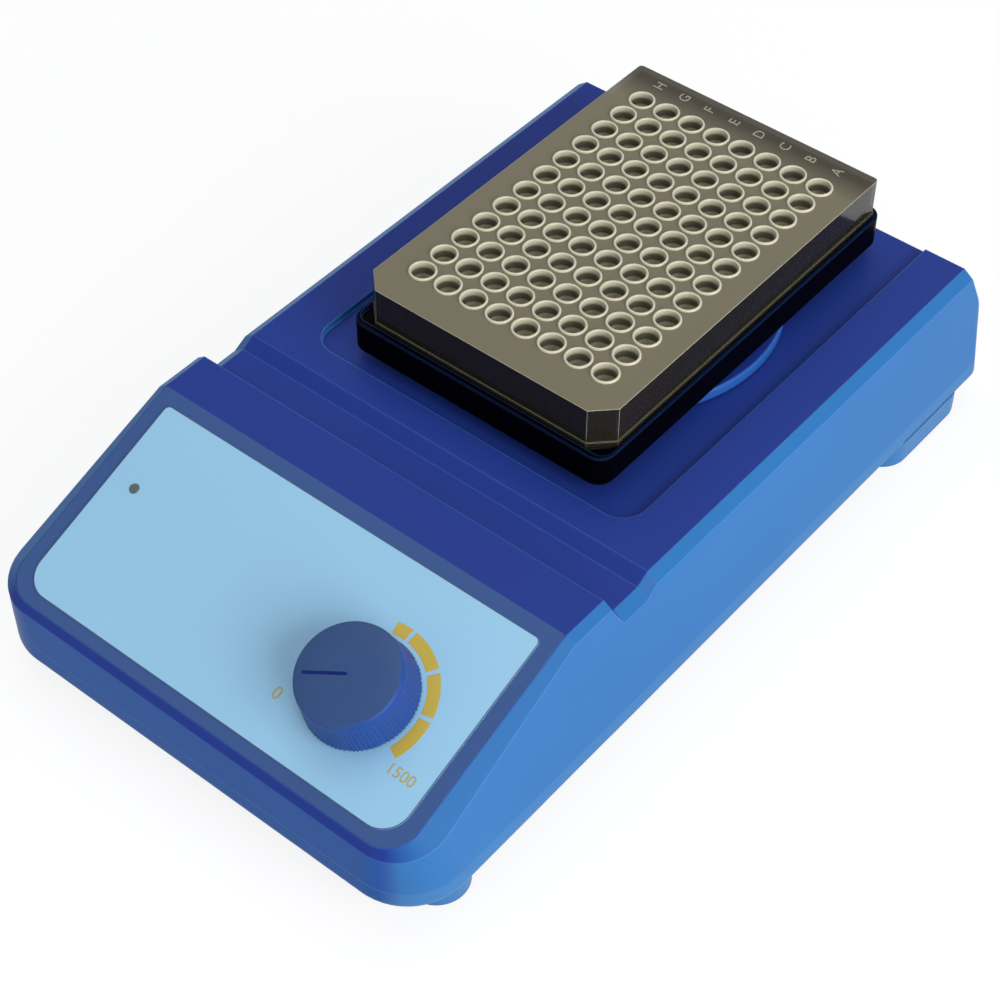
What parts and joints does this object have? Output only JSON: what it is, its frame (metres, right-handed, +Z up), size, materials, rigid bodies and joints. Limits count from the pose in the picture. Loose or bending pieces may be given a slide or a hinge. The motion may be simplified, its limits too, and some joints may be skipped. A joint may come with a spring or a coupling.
{
  "type": "microplate mixer",
  "caption": "Low bench mixer with a sloped control panel and speed knob; an orbiting tray carries a clear well plate above a flat deck.",
  "frame": {"origin": "centre of the footprint on the surface that the feet stand on", "axes": "+Z up, +Y to the rear (the control panel faces -Y), +X to the right seen from the front"},
  "size_m": [0.1534, 0.2608, 0.0759],
  "materials": {
    "cover_blue": "fine grained satin",
    "base_blue": "satin",
    "label_blue": "printed film",
    "knob_blue": "satin",
    "tray_black": "satin",
    "foot_rubber": "matt",
    "steel": "ground",
    "copper": "wound",
    "board": "lacquered",
    "black_plastic": "moulded",
    "lead_sleeve": "extruded",
    "clear_plastic": "clear moulded",
    "lamp": "clear"
  },
  "bodies": {
    "housing": {"top_shell": "cover_blue", "base_shell": "base_blue", "rubber_feet": "foot_rubber", "housing_screws": "steel", "front_label": "label_blue", "ballast_plate": "steel", "potentiometer_body": "black_plastic", "potentiometer_nut": "steel", "power_led": "lamp", "led_holder": "steel", "control_board": "board", "board_parts": "black_plastic", "board_screws": "steel", "drive_plate": "steel", "drive_plate_screws": "steel", "motor_can": "steel", "motor_stator": "copper", "motor_bushes": "copper", "motor_screws": "steel", "idler_bushes": "copper", "power_jack": "black_plastic", "jack_pin": "steel", "jack_nut": "steel", "switch_body": "black_plastic", "motor_lead": "lead_sleeve", "jack_lead": "lead_sleeve", "switch_lead": "lead_sleeve"},
    "crank": {"motor_rotor": "steel", "motor_shaft": "steel", "drive_crank": "steel", "crank_counterweight": "steel", "crank_grub_screw": "steel", "head_bearing_inner": "steel"},
    "head": {"shaker_head": "base_blue", "plate_tray": "tray_black", "tray_screws": "steel", "head_bearing_outer": "steel", "head_bearing_balls": "steel", "head_bushes": "black_plastic"},
    "idler_a": {"idler_1": "steel", "idler_clip_1": "steel"},
    "idler_b": {"idler_2": "steel", "idler_clip_2": "steel"},
    "idler_c": {"idler_3": "steel", "idler_clip_3": "steel"},
    "plate": {"microplate": "clear_plastic"},
    "knob": {"speed_knob": "knob_blue", "potentiometer_shaft": "steel"},
    "rocker": {"switch_rocker": "black_plastic"}
  },
  "joints": [
    {"name": "crank_spin", "type": "hinge", "parent": "housing", "child": "crank", "pos_m": [0, 0.04675, 0.04], "axis": [0, 0, 1], "continuous": true},
    {"name": "head_orbit", "type": "hinge", "parent": "crank", "child": "head", "pos_m": [0, 0.049, 0.0464], "axis": [0, 0, 1], "continuous": true},
    {"name": "idler_1_spin", "type": "hinge", "parent": "housing", "child": "idler_a", "pos_m": [0, 0.07575, 0.0345], "axis": [0, 0, 1], "continuous": true},
    {"name": "idler_2_spin", "type": "hinge", "parent": "housing", "child": "idler_b", "pos_m": [-0.02511, 0.03225, 0.0345], "axis": [0, 0, 1], "continuous": true},
    {"name": "idler_3_spin", "type": "hinge", "parent": "housing", "child": "idler_c", "pos_m": [0.02511, 0.03225, 0.0345], "axis": [0, 0, 1], "continuous": true},
    {"name": "plate_lift", "type": "slide", "parent": "head", "child": "plate", "axis": [0, 0, 1], "range_m": [0, 0.06]},
    {"name": "knob_turn", "type": "hinge", "parent": "housing", "child": "knob", "pos_m": [0.0343, -0.10116, 0.04107], "axis": [0, 0.3681, -0.9298], "range_deg": [0, 237]},
    {"name": "switch_rock", "type": "hinge", "parent": "housing", "child": "rocker", "pos_m": [0.033, 0.1263, 0.023], "axis": [-1, 0, 0], "range_deg": [0, 14]}
  ],
  "couplings": [
    {"joint": "head_orbit", "follows": "crank_spin", "ratio": -1},
    {"joint": "idler_1_spin", "follows": "crank_spin", "ratio": 1},
    {"joint": "idler_2_spin", "follows": "crank_spin", "ratio": 1},
    {"joint": "idler_3_spin", "follows": "crank_spin", "ratio": 1}
  ]
}
